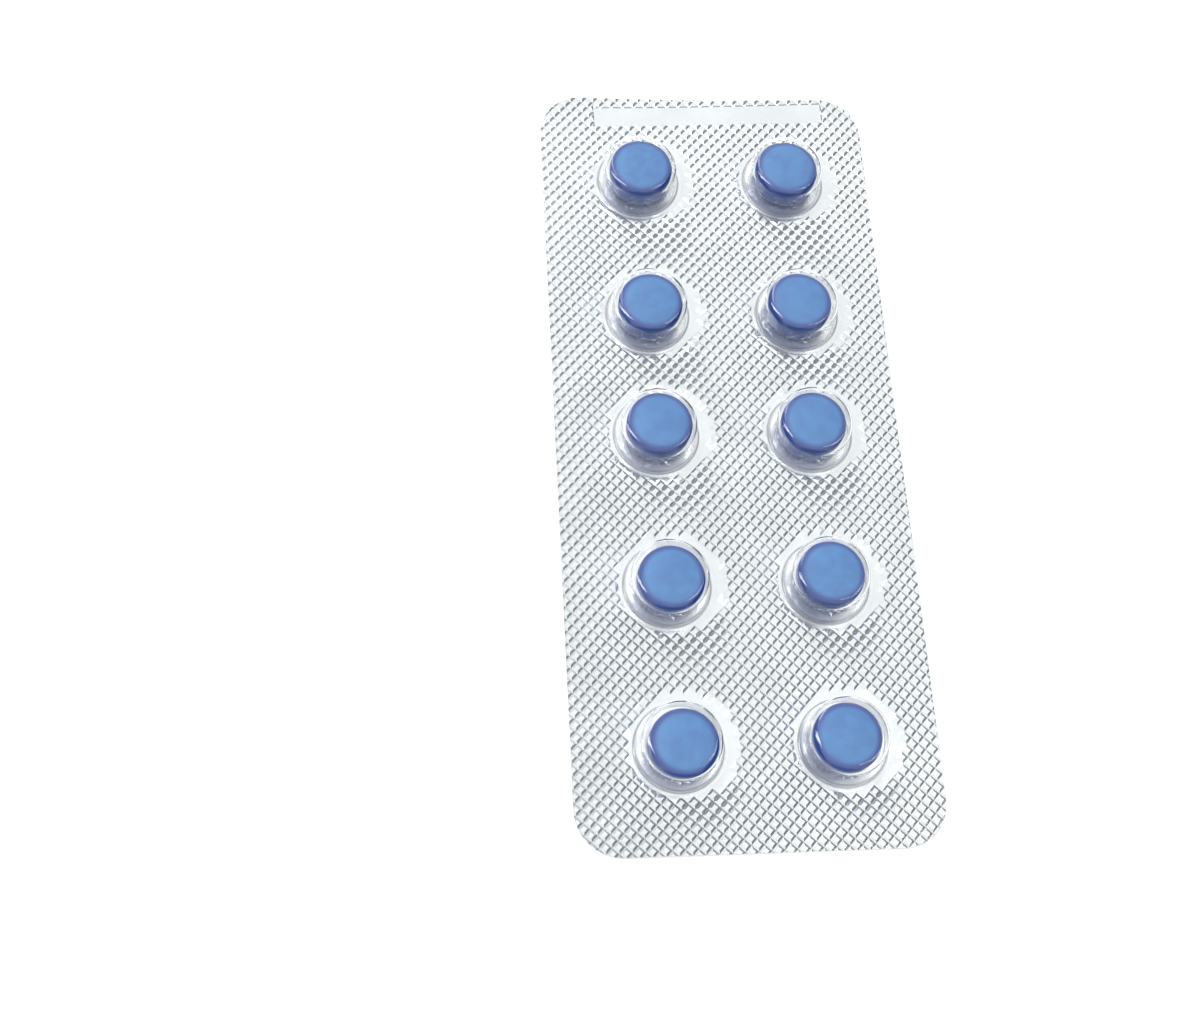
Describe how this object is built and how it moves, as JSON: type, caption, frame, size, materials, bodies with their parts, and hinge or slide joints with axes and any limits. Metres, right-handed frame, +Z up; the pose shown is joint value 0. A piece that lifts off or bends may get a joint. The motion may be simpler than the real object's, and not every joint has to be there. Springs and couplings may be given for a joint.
{
  "type": "pill blister pack",
  "caption": "Flat rounded blister card with clear formed pockets over a silvery embossed foil, each pocket holding one round blue tablet.",
  "frame": {"origin": "middle of the foil's underside", "axes": "+X across the pack, +Y along the pack towards the end with the bare code strip, +Z up out of the pockets"},
  "size_m": [0.0426, 0.1, 0.0045],
  "materials": {
    "clear_film": "clear, glossy thermoformed film",
    "foil": "bright embossed foil",
    "tablet_coat": "smooth satin film coat"
  },
  "bodies": {
    "root": {"blister_film": "clear_film", "lidding_foil": "foil", "tablet_01": "tablet_coat", "tablet_02": "tablet_coat", "tablet_03": "tablet_coat", "tablet_04": "tablet_coat", "tablet_05": "tablet_coat", "tablet_06": "tablet_coat", "tablet_07": "tablet_coat", "tablet_08": "tablet_coat", "tablet_09": "tablet_coat", "tablet_10": "tablet_coat"}
  },
  "joints": []
}
